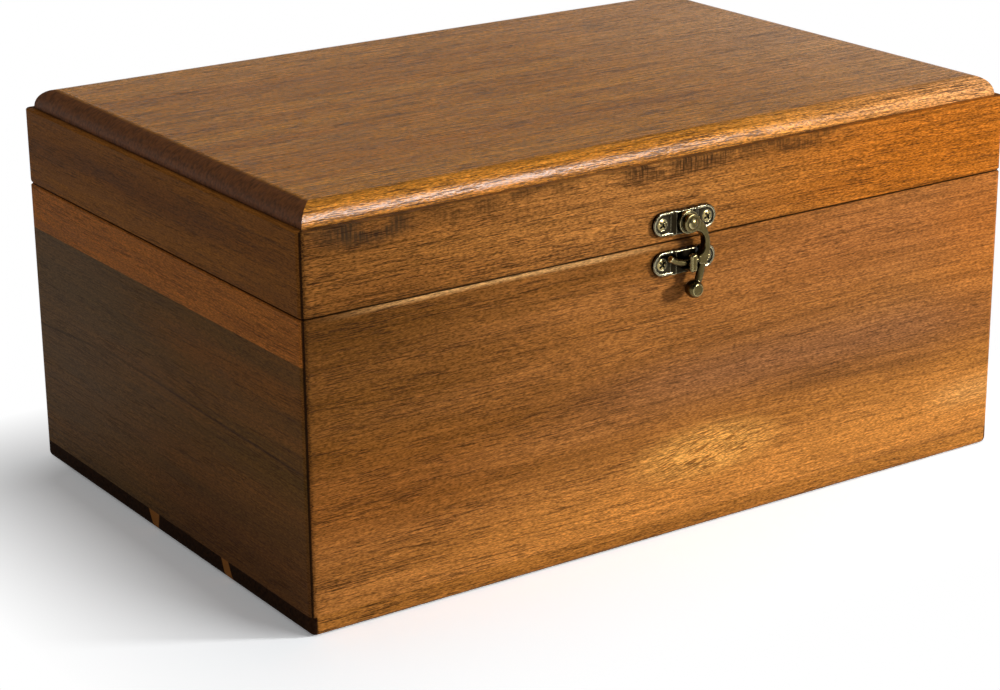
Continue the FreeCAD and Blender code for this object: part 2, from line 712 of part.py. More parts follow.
def keeper_catch():
    """The catch on the keeper plate: a leg below the finger and a tongue in front of it."""
    half_width = CATCH_WIDTH / 2
    half_height = CATCH_HEIGHT / 2
    tongue_back = CATCH_FRONT - CATCH_TONGUE_THICKNESS
    bottom = CATCH_LIFT - half_height
    top = CATCH_LIFT + half_height
    corner_round = min(CATCH_CORNER_ROUND, 0.9 * half_width)
    tongue = rounded_block((-half_width, bottom, tongue_back), (half_width, top, CATCH_FRONT), corner_round)
    tongue = tongue.makeChamfer(CATCH_EDGE_BEVEL, edges_at_height(tongue, CATCH_FRONT))
    stem = rounded_block((-half_width, bottom, PAD_FRONT), (half_width, top, tongue_back), corner_round)
    leg_top = bottom + CATCH_LEG_THICKNESS
    finger_room = block((-CATCH_WIDTH, leg_top, 0), (CATCH_WIDTH, top + OVERRUN, CATCH_FRONT))
    catch = tongue.fuse(stem.cut(finger_room)).removeSplitter()
    catch.Placement = on_front(KEEPER_Z)
    return catch


# All nodes by name


def build():
    """Every piece of the box, each as its own shape under the name of its node."""
    stave_lower, stave_upper = left_wall_staves()
    nodes = {
        "bottom_board": bottom_board(),
        "base_front_wall": base_wall("front"),
        "base_back_wall": base_wall("back"),
        "base_left_wall_lower_stave": stave_lower,
        "base_left_wall_upper_stave": stave_upper,
        "base_right_wall": base_wall("right"),
        "lid_top_panel": lid_top_panel(),
        "latch_plate": latch_plate(),
        "latch_rivet": latch_rivet(),
        "latch_hook": latch_hook(),
        "keeper_plate": keeper_plate(),
        "keeper_catch": keeper_catch(),
    }
    for side in ("front", "back", "left", "right"):
        nodes["lid_" + side + "_rail"] = lid_rail(side)
    for name, centre_x in zip(("left", "right"), hinge_centres()):
        nodes["hinge_" + name + "_base_leaf"] = hinge_leaf(centre_x, "base")
        nodes["hinge_" + name + "_lid_leaf"] = hinge_leaf(centre_x, "lid")
        nodes["hinge_" + name + "_pin"] = hinge_pin(centre_x)
    screw_groups = {
        "hinge_base_screws": (HINGE_SCREW, hinge_screw_places("base")),
        "hinge_lid_screws": (HINGE_SCREW, hinge_screw_places("lid")),
        "latch_plate_screws": (LATCH_SCREW, plate_screw_places(RIVET_Z)),
        "keeper_plate_screws": (LATCH_SCREW, plate_screw_places(KEEPER_Z)),
    }
    for name, (size, places) in screw_groups.items():
        nodes[name] = screw_group(size, places)
    return nodes


os.makedirs("parts", exist_ok=True)
for node_name, shape in build().items():
    solids = shape.Solids
    volume = sum(solid.Volume for solid in solids)
    print(node_name, "solids", len(solids), "valid", shape.isValid(), "volume mm3", round(volume, 1))
    exported = solids[0] if len(solids) == 1 else Part.Compound(solids)
    exported.exportStep("parts/" + node_name + ".step")
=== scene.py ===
# %% [markdown]
# A wooden keepsake box with a hinged lid and a small swing-hook latch.
# The construction comes from CAD as a fixed frame: every board, hinge, screw and latch piece is already in
# place. This lesson gives those pieces their looks: the figure of the wood, board by board, and the aged
# metal of the latch and the hinges.

# %% Load the frame
import math
from collections import namedtuple

import bmesh
import bpy
from mathutils import Matrix, Vector


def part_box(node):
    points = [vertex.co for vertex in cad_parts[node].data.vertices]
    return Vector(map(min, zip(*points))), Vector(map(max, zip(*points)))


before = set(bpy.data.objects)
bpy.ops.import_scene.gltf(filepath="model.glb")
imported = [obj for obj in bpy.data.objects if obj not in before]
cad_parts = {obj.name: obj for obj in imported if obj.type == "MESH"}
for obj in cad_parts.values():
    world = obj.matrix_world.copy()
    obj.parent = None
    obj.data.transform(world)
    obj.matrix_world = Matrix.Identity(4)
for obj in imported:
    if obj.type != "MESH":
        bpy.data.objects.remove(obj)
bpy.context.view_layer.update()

# %% Sizes read from the frame
MM = 0.001

box_low, box_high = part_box("bottom_board")
LENGTH = box_high[0] - box_low[0]
DEPTH = box_high[1] - box_low[1]
BOTTOM = box_high[2] - box_low[2]
print("length, depth and bottom thickness in mm:", [round(v / MM, 1) for v in (LENGTH, DEPTH, BOTTOM)])

# %% [markdown]
# Colours are written as sRGB hex, the way a colour picker shows them.
# Shaders work in linear light, so one function turns the one into the other.
# A second small function adds a node, sets it and wires it, so each material reads as a list of layers.

# %% Colour and node helpers
def linear(hex_colour, alpha=1.0):
    """An sRGB hex colour as the linear RGBA that shaders take."""
    channels = [int(hex_colour[i:i + 2], 16) / 255 for i in (1, 3, 5)]
    return [c / 12.92 if c <= 0.04045 else ((c + 0.055) / 1.055) ** 2.4 for c in channels] + [alpha]


# The Mix node has one pair of inputs for each data type; these are the places of its colour sockets.
MIX_A, MIX_B, MIX_OUT = 6, 7, 2


def add(tree, kind, inputs=None, out=0, **settings):
    """Adds a node with its settings, fills or links its inputs, and returns one of its outputs."""
    node = tree.nodes.new(kind)
    for name, value in settings.items():
        setattr(node, name, value)
    for socket, value in (inputs or {}).items():
        if isinstance(value, bpy.types.NodeSocket):
            tree.links.new(value, node.inputs[socket])
        else:
            node.inputs[socket].default_value = value
    return node.outputs[out]


def new_material(name):
    """An empty node material and its node tree."""
    material = bpy.data.materials.new(name)
    material.use_nodes = True
    material.node_tree.nodes.clear()
    return material, material.node_tree


# %% [markdown]
# The boards are solid acacia. Its pattern is worked out in three dimensions from the place of each point in
# the box, so that it runs round an edge as real wood does. First come the directions of a board: along the
# grain and across it, in millimetres. Grain never runs dead straight, so a slow drift bends every later layer
# together.

# %% Along and across the grain
def grain_space(tree, along, seed):
    """The place of a point in its board, straight and with the drift of the grain."""
    place = add(tree, "ShaderNodeTexCoord", out="Object")
    in_mm = add(tree, "ShaderNodeMapping", {"Vector": place, "Scale": (1 / MM, 1 / MM, 1 / MM)})
    quarter = -math.pi / 2 if along == "Y" else 0
    board = add(tree, "ShaderNodeMapping", {"Vector": in_mm, "Rotation": (0, 0, quarter)})
    slow = add(tree, "ShaderNodeMapping", {
        "Vector": board, "Scale": (1 / 150, 1 / 45, 1 / 45), "Location": (seed, 0, 0)})
    drift = add(tree, "ShaderNodeTexNoise", {"Vector": slow, "Scale": 1.0, "Detail": 2.0}, out="Color")
    centred = add(tree, "ShaderNodeVectorMath", {0: drift, 1: (0.5, 0.5, 0.5)}, operation="SUBTRACT")
    sideways = add(tree, "ShaderNodeVectorMath", {0: centred, 1: (0, 5, 5)}, operation="MULTIPLY")
    grain = add(tree, "ShaderNodeVectorMath", {0: board, 1: sideways}, operation="ADD")
    return board, grain


def fibres(tree, grain, seed, long_mm, wide_mm, detail=2.0, slant=0.0):
    """Noise whose specks are drawn out along the grain to a real length and width."""
    turned = add(tree, "ShaderNodeMapping", {"Vector": grain, "Rotation": (0, math.radians(slant), 0)})
    drawn = add(tree, "ShaderNodeMapping", {
        "Vector": turned,
        "Scale": (1 / long_mm, 1 / wide_mm, 1 / wide_mm),
        "Location": (seed * 7.3 + long_mm, seed * 3.1, seed * 5.7)})
    return add(tree, "ShaderNodeTexNoise", {"Vector": drawn, "Scale": 1.0, "Detail": detail})


# %% [markdown]
# Each board has bands of its own, lighter or darker than the rest. A band is a line along the board with a
# soft width, and it fades in and out along the grain. Its two heights are those at the board's left and right
# end, or at the front and rear end of a side board; on the flat top they are places between front and rear.
# In a workshop these bands are why no two boxes look alike.

# %% Bands along a board
Band = namedtuple("Band", "tone strength heights half_width span fade")


def paint_bands(tree, colour, board, grain, half_run, bands, across):
    """Lays a board's own light and dark bands over its ground colour."""
    run = add(tree, "ShaderNodeSeparateXYZ", {"Vector": board}, out="X")
    level = add(tree, "ShaderNodeSeparateXYZ", {"Vector": grain}, out=across)
    for band in bands:
        line = add(tree, "ShaderNodeMapRange", {
            "Value": run, "From Min": -half_run, "From Max": half_run,
            "To Min": band.heights[0], "To Max": band.heights[1]})
        off = add(tree, "ShaderNodeMath", {0: level, 1: line}, operation="SUBTRACT")
        distance = add(tree, "ShaderNodeMath", {0: off}, operation="ABSOLUTE")
        near = add(tree, "ShaderNodeMapRange", {
            "Value": distance, "From Max": band.half_width, "To Min": band.strength, "To Max": 0.0},
            interpolation_type="SMOOTHSTEP")
        begins = add(tree, "ShaderNodeMapRange", {
            "Value": run, "From Min": band.span[0] - band.fade, "From Max": band.span[0] + band.fade},
            interpolation_type="SMOOTHSTEP")
        ends = add(tree, "ShaderNodeMapRange", {
            "Value": run, "From Min": band.span[1] + band.fade, "From Max": band.span[1] - band.fade},
            interpolation_type="SMOOTHSTEP")
        covered = add(tree, "ShaderNodeMath", {0: begins, 1: ends}, operation="MULTIPLY")
        mask = add(tree, "ShaderNodeMath", {0: near, 1: covered}, operation="MULTIPLY")
        colour = add(tree, "ShaderNodeMix", {0: mask, MIX_A: colour, MIX_B: linear(band.tone)},
                     out=MIX_OUT, data_type="RGBA")
    return colour


# %% [markdown]
# Two marks cross the grain, and both lie in a soft oval patch. The first is flame figure: the fibres wave
# there, so the wood glows and short thin dashes slant over it. The dashes are real size, 0.45 mm by 6 mm.

# %% Flame figure
Flame = namedtuple("Flame", "tone dash_tone strength centre half_size slant")
FLAME_LONG, FLAME_WIDE = 6.0, 0.45


def oval(tree, board, centre, half_size):
    """A soft oval patch on the face of a board, 1 in its middle and 0 outside."""
    moved = add(tree, "ShaderNodeVectorMath", {0: board, 1: (centre[0], 0, centre[1])}, operation="SUBTRACT")
    shares = (1 / half_size[0], 0, 1 / half_size[1])
    scaled = add(tree, "ShaderNodeVectorMath", {0: moved, 1: shares}, operation="MULTIPLY")
    radius = add(tree, "ShaderNodeVectorMath", {0: scaled}, out="Value", operation="LENGTH")
    return add(tree, "ShaderNodeMapRange", {"Value": radius, "From Min": 1.0, "From Max": 0.35},
               interpolation_type="SMOOTHSTEP")


def paint_flame(tree, colour, board, grain, seed, flame):
    """Lays a patch of flame figure over the ground colour: bright, with thin dark slanting dashes."""
    patch = oval(tree, board, flame.centre, flame.half_size)
    lit = add(tree, "ShaderNodeMath", {0: patch, 1: flame.strength}, operation="MULTIPLY")
    colour = add(tree, "ShaderNodeMix", {0: lit, MIX_A: colour, MIX_B: linear(flame.tone)},
                 out=MIX_OUT, data_type="RGBA")
    waves = fibres(tree, grain, seed + 5, FLAME_LONG, FLAME_WIDE, detail=1.0, slant=flame.slant)
    dashes = add(tree, "ShaderNodeMapRange", {
        "Value": waves, "From Min": 0.52, "From Max": 0.6, "To Min": 0.0, "To Max": 0.75})
    mask = add(tree, "ShaderNodeMath", {0: patch, 1: dashes}, operation="MULTIPLY")
    return add(tree, "ShaderNodeMix", {0: mask, MIX_A: colour, MIX_B: linear(flame.dash_tone)},
               out=MIX_OUT, data_type="RGBA")


# %% [markdown]
# The second mark is torn grain. A plane that cuts against the fibres lifts them, and the stain soaks in
# there. It looks like a dark smudge, a few millimetres across, hatched up and down by the cutter. So two
# noises are multiplied: a broad one for the smudge and a narrow upright one for the hatching.

# %% Torn grain
Torn = namedtuple("Torn", "tone strength centre half_size")
SMUDGE_LONG, SMUDGE_TALL = 14, 5
HATCH_WIDE, HATCH_TALL = 0.9, 9.0


def paint_torn(tree, colour, board, seed, torn):
    """Lays a dark patch of torn grain over the ground colour, hatched across the grain."""
    patch = oval(tree, board, torn.centre, torn.half_size)
    marks = []
    for long_mm, tall_mm, low, high, least in ((SMUDGE_LONG, SMUDGE_TALL, 0.38, 0.54, 0.15),
                                               (HATCH_WIDE, HATCH_TALL, 0.4, 0.6, 0.6)):
        size = (1 / long_mm, 1 / tall_mm, 1 / tall_mm)
        spot = add(tree, "ShaderNodeMapping", {"Vector": board, "Scale": size, "Location": (seed, 0, 0)})
        noise = add(tree, "ShaderNodeTexNoise", {"Vector": spot, "Scale": 1.0, "Detail": 2.0})
        marks.append(add(tree, "ShaderNodeMapRange", {
            "Value": noise, "From Min": low, "From Max": high, "To Min": least, "To Max": 1.0}))
    soaked = add(tree, "ShaderNodeMath", {0: marks[0], 1: marks[1]}, operation="MULTIPLY")
    shown = add(tree, "ShaderNodeMath", {0: soaked, 1: torn.strength}, operation="MULTIPLY")
    mask = add(tree, "ShaderNodeMath", {0: patch, 1: shown}, operation="MULTIPLY")
    return add(tree, "ShaderNodeMix", {0: mask, MIX_A: colour, MIX_B: linear(torn.tone)},
               out=MIX_OUT, data_type="RGBA")


# %% [markdown]
# Open pores are what acacia is known by: thin dark dashes, crowded in some places and rare in others. A
# Voronoi texture fills the board with cells, drawn out along the grain, and a dash shows where a point is
# near enough to the middle of its cell. Real pores are about 0.2 mm wide; here the largest are 0.37 mm, so
# that they show.

# %% Open pores
PORE_LONG, PORE_WIDE = 13, 0.42
CROWD_LONG, CROWD_WIDE = 50, 5


def pore_dashes(tree, board, grain, seed, half_run, strengths):
    """A mask of pores, with its strength at the board's two ends."""
    drawn = add(tree, "ShaderNodeMapping", {
        "Vector": grain, "Scale": (1 / PORE_LONG, 1 / PORE_WIDE, 1 / PORE_WIDE),
        "Location": (seed, seed, seed)})
    nearest = add(tree, "ShaderNodeTexVoronoi", {"Vector": drawn, "Scale": 1.0}, out="Distance")
    crowding = fibres(tree, grain, seed + 6, CROWD_LONG, CROWD_WIDE)
    reach = add(tree, "ShaderNodeMapRange", {
        "Value": crowding, "From Min": 0.35, "From Max": 0.65, "To Min": 0.22, "To Max": 0.44})
    excess = add(tree, "ShaderNodeMath", {0: reach, 1: nearest}, operation="SUBTRACT")
    opened = add(tree, "ShaderNodeMapRange", {"Value": excess, "From Min": 0.0, "From Max": 0.1})
    run = add(tree, "ShaderNodeSeparateXYZ", {"Vector": board}, out="X")
    strength = add(tree, "ShaderNodeMapRange", {
        "Value": run, "From Min": -half_run, "From Max": half_run,
        "To Min": strengths[0], "To Max": strengths[1]})
    return add(tree, "ShaderNodeMath", {0: opened, 1: strength}, operation="MULTIPLY")


# %% [markdown]
# At the end of a board the fibres are cut across. End grain drinks stain and turns nearly black. It shows
# where the surface faces along the grain, so the mask compares the two directions: on a mitred board only a
# surface that faces right along it counts, but on the round end of a panel the tone comes in early. The
# bottom board was glued up from strips, two of them pale sapwood, which show as slanting patches in its ends.

# %% End grain
Sapwood = namedtuple("Sapwood", "tone centres half_widths")


def cut_ends(tree, along, mitred):
    """1 where a surface cuts the fibres across, 0 where it runs along them."""
    facing = add(tree, "ShaderNodeTexCoord", out="Normal")
    grain_axis = (1, 0, 0) if along == "X" else (0, 1, 0)
    towards_end = add(tree, "ShaderNodeVectorMath", {0: facing, 1: grain_axis},
                      out="Value", operation="DOT_PRODUCT")
    either_end = add(tree, "ShaderNodeMath", {0: towards_end}, operation="ABSOLUTE")
    first_dark, all_dark = (0.8, 0.95) if mitred else (0.08, 0.3)
    return add(tree, "ShaderNodeMapRange", {
        "Value": either_end, "From Min": first_dark, "From Max": all_dark})


def end_grain(tree, board, grain, seed, tone, sapwood):
    """The colour of a board's cut ends."""
    dots = fibres(tree, grain, seed + 3, 30, 1.2)
    uneven = add(tree, "ShaderNodeMapRange", {
        "Value": dots, "From Min": 0.3, "From Max": 0.7, "To Min": 0.6, "To Max": 1.5})
    colour = add(tree, "ShaderNodeMix", {0: 1.0, MIX_A: linear(tone), MIX_B: uneven},
                 out=MIX_OUT, data_type="RGBA", blend_type="MULTIPLY")
    cross = add(tree, "ShaderNodeSeparateXYZ", {"Vector": board}, out="Y")
    height = add(tree, "ShaderNodeSeparateXYZ", {"Vector": board}, out="Z")
    for strip in sapwood:
        centre, half_width = [add(tree, "ShaderNodeMapRange", {
            "Value": height, "From Max": BOTTOM / MM, "To Min": foot, "To Max": top})
            for foot, top in (strip.centres, strip.half_widths)]
        off = add(tree, "ShaderNodeMath", {0: cross, 1: centre}, operation="SUBTRACT")
        distance = add(tree, "ShaderNodeMath", {0: off}, operation="ABSOLUTE")
        inside = add(tree, "ShaderNodeMath", {0: half_width, 1: distance}, operation="SUBTRACT")
        mask = add(tree, "ShaderNodeMapRange", {"Value": inside, "From Min": -0.3, "From Max": 0.3})
        colour = add(tree, "ShaderNodeMix", {0: mask, MIX_A: colour, MIX_B: linear(strip.tone)},
                     out=MIX_OUT, data_type="RGBA")
    return colour


# %% [markdown]
# Boards meet in fine dark lines. A mitre shows its glue line where two boards meet at 45 degrees: that mask
# needs only the distances of a point from the two outer faces, which are the same on the mitre. The creases
# between parts, and the foot where the box meets the table, get painted shade, darker the narrower they are;
# an Ambient Occlusion node finds such narrow places by itself.

# %% Mitre lines and painted crease shade
MITRE_FADE, MITRE_HALF = 0.8, 0.45
CREASE_SHADE_REACH = 1.2


def mitre_line(tree):
    """1 on the glue line between two mitred boards, 0 away from it."""
    place = add(tree, "ShaderNodeTexCoord", out="Object")
    inward = []
    for axis, half in (("X", LENGTH / 2), ("Y", DEPTH / 2)):
        part = add(tree, "ShaderNodeSeparateXYZ", {"Vector": place}, out=axis)
        size = add(tree, "ShaderNodeMath", {0: part}, operation="ABSOLUTE")
        inward.append(add(tree, "ShaderNodeMath", {0: half, 1: size}, operation="SUBTRACT"))
    gap = add(tree, "ShaderNodeMath", {0: inward[0], 1: inward[1]}, operation="SUBTRACT")
    away = add(tree, "ShaderNodeMath", {0: gap}, operation="ABSOLUTE")
    return add(tree, "ShaderNodeMapRange", {
        "Value": away, "From Min": MITRE_FADE * MM, "From Max": MITRE_HALF * MM, "To Max": 0.85})


def crease_shade(tree):
    """Painted shade: 1 deep in a crease between two pieces or against the table, 0 on an open face."""
    open_sky = add(tree, "ShaderNodeAmbientOcclusion", {"Distance": CREASE_SHADE_REACH * MM}, out="AO", samples=6)
    return add(tree, "ShaderNodeMapRange", {
        "Value": open_sky, "From Min": 0.75, "From Max": 0.3, "To Max": 0.9})


# %% [markdown]
# Stain and a thin coat of lacquer close the surface. The lacquer has the IOR of most varnishes, 1.5, and is
# rubbed down to a satin, so its mirror strength is low and its roughness middling. It fills most of a pore,
# so a pore dips only a little and is a touch rougher than the film around it. End grain stays dull.

# %% Lacquer
def lacquer(tree, colour, stripes, flecks, pores, ends, gloss, film, relief_mm):
    """The shader of stained wood under a satin film."""
    even = add(tree, "ShaderNodeMapRange", {
        "Value": stripes, "From Min": 0.3, "From Max": 0.7, "To Min": film - 0.05, "To Max": film + 0.05})
    dulled = add(tree, "ShaderNodeMath", {0: ends, 1: 0.3, 2: even}, operation="MULTIPLY_ADD")
    roughness = add(tree, "ShaderNodeMath", {0: pores, 1: 0.1, 2: dulled}, operation="MULTIPLY_ADD")
    ridges = add(tree, "ShaderNodeMath", {0: flecks, 1: 0.4}, operation="MULTIPLY")
    relief = add(tree, "ShaderNodeMath", {0: ridges, 1: pores}, operation="SUBTRACT")
    bump = add(tree, "ShaderNodeBump", {"Height": relief, "Strength": 0.7, "Distance": relief_mm * MM})
    return add(tree, "ShaderNodeBsdfPrincipled", {
        "Base Color": colour, "Roughness": roughness, "Normal": bump,
        "IOR": 1.5, "Specular IOR Level": gloss})


# %% [markdown]
# Now the layers are stacked: the ground tone, wavering between a dark and a light one over the width of a
# growth band, then the board's own bands and marks, fine stripes of earlier and later growth, short flecks,
# pores, cut ends and mitre glue lines as they lie in real wood, then painted shade in the creases, and the
# lacquer over all.

# %% The wood of one board
FIGURE_LONG, FIGURE_WIDE = 240, 15
STRIPE_LONG, STRIPE_WIDE = 38, 0.8
FLECK_LONG, FLECK_WIDE = 1.5, 0.34


def acacia(name, along, seed, dark, light, bands=(), flame=None, torn=(), sapwood=(), pores=(0.7, 0.7),
           contrast=1.0, pore_tone="#2e180b", end_tone="#1d100a", across="Z", mitred=True,
           gloss=0.06, film=0.45, relief_mm=0.16):
    """Stained and lacquered acacia with its grain along X or Y."""
    material, tree = new_material(name)
    half_run = (LENGTH if along == "X" else DEPTH) / 2 / MM
    board, grain = grain_space(tree, along, seed)
    figure = fibres(tree, grain, seed, FIGURE_LONG, FIGURE_WIDE, detail=3.0)
    share = add(tree, "ShaderNodeMapRange", {"Value": figure, "From Min": 0.34, "From Max": 0.66})
    colour = add(tree, "ShaderNodeMix", {0: share, MIX_A: linear(dark), MIX_B: linear(light)},
                 out=MIX_OUT, data_type="RGBA")
    colour = paint_bands(tree, colour, board, grain, half_run, bands, across)
    if flame:
        colour = paint_flame(tree, colour, board, grain, seed, flame)

    stripes = fibres(tree, grain, seed + 1, STRIPE_LONG, STRIPE_WIDE, detail=3.0)
    flecks = fibres(tree, grain, seed + 2, FLECK_LONG, FLECK_WIDE, detail=1.0)
    for speckle, change in ((stripes, 0.28 * contrast), (flecks, 0.45 * contrast)):
        tone = add(tree, "ShaderNodeMapRange", {
            "Value": speckle, "From Min": 0.3, "From Max": 0.7, "To Min": 1 - change, "To Max": 1 + change})
        colour = add(tree, "ShaderNodeMix", {0: 1.0, MIX_A: colour, MIX_B: tone},
                     out=MIX_OUT, data_type="RGBA", blend_type="MULTIPLY")
    for patch in torn:
        colour = paint_torn(tree, colour, board, seed, patch)

    dashes = pore_dashes(tree, board, grain, seed, half_run, pores)
    ends = cut_ends(tree, along, mitred)
    darker = [(dashes, linear(pore_tone)), (ends, end_grain(tree, board, grain, seed, end_tone, sapwood))]
    if mitred:
        darker.append((mitre_line(tree), linear("#140a05")))
    # Painted shade: creases between parts and the foot at the table are darkened where the Ambient Occlusion
    # mask finds them.
    darker.append((crease_shade(tree), linear("#120905")))
    for mask, tone in darker:
        colour = add(tree, "ShaderNodeMix", {0: mask, MIX_A: colour, MIX_B: tone},
                     out=MIX_OUT, data_type="RGBA")
    shader = lacquer(tree, colour, stripes, flecks, dashes, ends, gloss, film, relief_mm)
    tree.links.new(shader, tree.nodes.new("ShaderNodeOutputMaterial").inputs["Surface"])
    print("wood:", name, "nodes:", len(tree.nodes))
    return material


def dress(material, *names):
    """Gives CAD nodes one material."""
    for name in names:
        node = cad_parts[name]
        node.data.materials.clear()
        node.data.materials.append(material)


# %% [markdown]
# The front wall is the showpiece: brown at the left, a broad dark band through the middle of the right half,
# and golden sapwood along the foot with a patch of flame figure. A thin pale line just under its top edge is
# a painted highlight, the glint of the rounded edge. Bands lie over each other in this order, so the broad
# ones come first.

# %% Front wall
WALL_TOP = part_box("base_front_wall")[1][2] / MM
dress(acacia("acacia_front_wall", "X", 1.0, "#855321", "#a26832", pores=(0.75, 0.35), gloss=0.03, bands=(
    Band("#5c3913", 0.75, (98, 98), 72, (-250, -80), 60),
    Band("#a46434", 0.50, (100, 95), 34, (30, 200), 50),
    Band("#c4803a", 0.85, (8, 20), 32, (-110, 200), 90),
    Band("#8c5c38", 0.75, (60, 56), 17, (-30, 150), 50),
    Band("#44270f", 0.30, (112, 100), 30, (-200, -130), 22),
    Band("#7d4510", 0.40, (42, 42), 32, (-250, -80), 35),
    # Painted highlight: this thin pale line under the top edge stands in for the glint on the rounded edge.
    Band("#e2ac6c", 0.75, (WALL_TOP - 1, WALL_TOP - 1), 1.6, (-125, -20), 25),
    Band("#6b4320", 0.60, (44, 44), 3, (42, 122), 12),
    Band("#7a4c24", 0.45, (72, 71), 3, (0, 150), 25),
    Band("#d3944f", 0.75, (24, 24), 9, (125, 200), 14),
    Band("#6b4320", 0.55, (7, 7), 3, (68, 200), 20),
    Band("#b3651c", 0.35, (90, 90), 60, (125, 250), 25),
), flame=Flame("#dd9c4c", "#7a4618", 0.8, (12, 29), (42, 13), 13)), "base_front_wall")

# %% [markdown]
# The left wall is two staves: a dark, greyish lower one with a single thin growth line, and a redder upper
# one. The photograph doesn't show the right and back walls, so they are plain brown boards of the same wood.

# %% Side and back walls of the base
dress(acacia("acacia_side_wall", "Y", 2.0, "#6c4b21", "#875728", pores=(0.5, 0.5), contrast=0.8, gloss=0.02,
             bands=(
    Band("#7d6244", 0.60, (60, 60), 120, (20, 200), 60),
    Band("#975b25", 0.50, (82, 76), 10, (-200, 0), 40),
    Band("#6a3e20", 0.60, (12, 12), 40, (-200, 0), 45),
    Band("#352516", 0.65, (57.5, 60), 0.9, (-110, 45), 30),
    Band("#352516", 0.65, (68, 54.5), 0.9, (45, 110), 20),
)), "base_left_wall_lower_stave")
dress(acacia("acacia_upper_stave", "Y", 3.0, "#b16a2c", "#cc7b37", pores=(0.5, 0.5), contrast=0.8,
             gloss=0.02), "base_left_wall_upper_stave")
dress(acacia("acacia_right_wall", "Y", 10.0, "#7b481b", "#9c6028", gloss=0.03), "base_right_wall")
dress(acacia("acacia_back_wall", "X", 4.0, "#7d4a20", "#a0642c", gloss=0.03), "base_back_wall")

# %% [markdown]
# The bottom board is as large as the box, so its end grain shows as a dark strip under the side walls.

# %% Bottom board
dress(acacia("acacia_bottom_board", "X", 5.0, "#9a6228", "#b57633", pores=(0.85, 0.5), end_tone="#2f1b0d",
             mitred=False, across="Y", gloss=0.03, sapwood=(
    Sapwood("#b37339", (10.0, 11.2), (1.5, 4.1)),
    Sapwood("#b37339", (-45.0, -41.8), (2.8, 2.5)),
)), "bottom_board")

# %% [markdown]
# The lid's rails come from redder planks. Torn grain shows along the top of the front rail, under the round
# of the top panel. The panel itself has a wetter coat, and its open pores and raised grain catch the light.

# %% Lid boards
RAIL_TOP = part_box("lid_front_rail")[1][2] / MM
dress(acacia("acacia_lid_front", "X", 6.0, "#8a5724", "#b07433", pores=(0.9, 0.5), contrast=1.25, gloss=0.03,
             bands=(
    Band("#683f19", 0.65, (125, 125), 60, (-250, -95), 50),
    Band("#c07f42", 0.30, (125, 125), 60, (-75, 20), 45),
    Band("#aa5d10", 0.80, (125, 125), 60, (50, 250), 60),
), torn=(
    Torn("#3d2c1b", 1.00, (-128, RAIL_TOP - 1), (27, 10)),
    Torn("#4a2e14", 0.80, (-75, RAIL_TOP), (60, 8)),
    Torn("#3f2712", 1.00, (-2, RAIL_TOP), (44, 9)),
    Torn("#4a2d14", 0.80, (50, RAIL_TOP), (40, 8)),
)), "lid_front_rail")
dress(acacia("acacia_lid_side", "Y", 7.0, "#7d4b1f", "#9e6226", pores=(0.5, 0.5), contrast=0.8, gloss=0.02),
      "lid_left_rail", "lid_right_rail")
dress(acacia("acacia_lid_back", "X", 8.0, "#7d4a20", "#a0642c", gloss=0.03), "lid_back_rail")
dress(acacia("acacia_lid_top", "X", 9.0, "#b87325", "#d08a33", pores=(0.85, 0.8), end_tone="#814d26",
             contrast=1.4, across="Y", mitred=False, gloss=0.22, film=0.26, relief_mm=0.3, bands=(
    Band("#ecb684", 0.80, (20, 20), 260, (110, 400), 110),
    Band("#d8954e", 0.45, (110, 110), 90, (-300, 400), 60),
    Band("#f09a3c", 0.55, (-106, -106), 12, (30, 400), 50),
)), "lid_top_panel")

# %% [markdown]
# The latch is cast and stamped metal with an aged bronze finish: nearly black in the hollows, rubbed to pale
# brass along the edges. The pale edges are partly real wear and partly a painted highlight, for the bright
# rims that reflections give. Three nodes find those places. A Bevel node finds the sharp edges and rounds
# them for the light, an Ambient Occlusion node that looks inwards finds the rounded edges, and one that looks
# outwards finds the hollows.

# %% Where metal is rubbed and where highlights are painted
def rubbed_edges_and_highlights(tree, edge_mm, worn_and_highlit_rounds):
    """1 along sharp edges and less along rounded ones, for wear and a painted highlight, with the softened
    normal of the metal.
    """
    true_normal = add(tree, "ShaderNodeNewGeometry", out="Normal")
    soft_normal = add(tree, "ShaderNodeBevel", {"Radius": edge_mm * MM}, samples=8)
    likeness = add(tree, "ShaderNodeVectorMath", {0: true_normal, 1: soft_normal},
                   out="Value", operation="DOT_PRODUCT")
    sharp = add(tree, "ShaderNodeMapRange", {"Value": likeness, "From Min": 0.997, "From Max": 0.93})
    depth = add(tree, "ShaderNodeAmbientOcclusion", {"Distance": 1.1 * MM}, out="AO", samples=8, inside=True)
    rounded = add(tree, "ShaderNodeMapRange", {
        "Value": depth, "From Min": 0.8, "From Max": 0.4, "To Max": worn_and_highlit_rounds})
    return add(tree, "ShaderNodeMath", {0: sharp, 1: rounded}, operation="MAXIMUM"), soft_normal
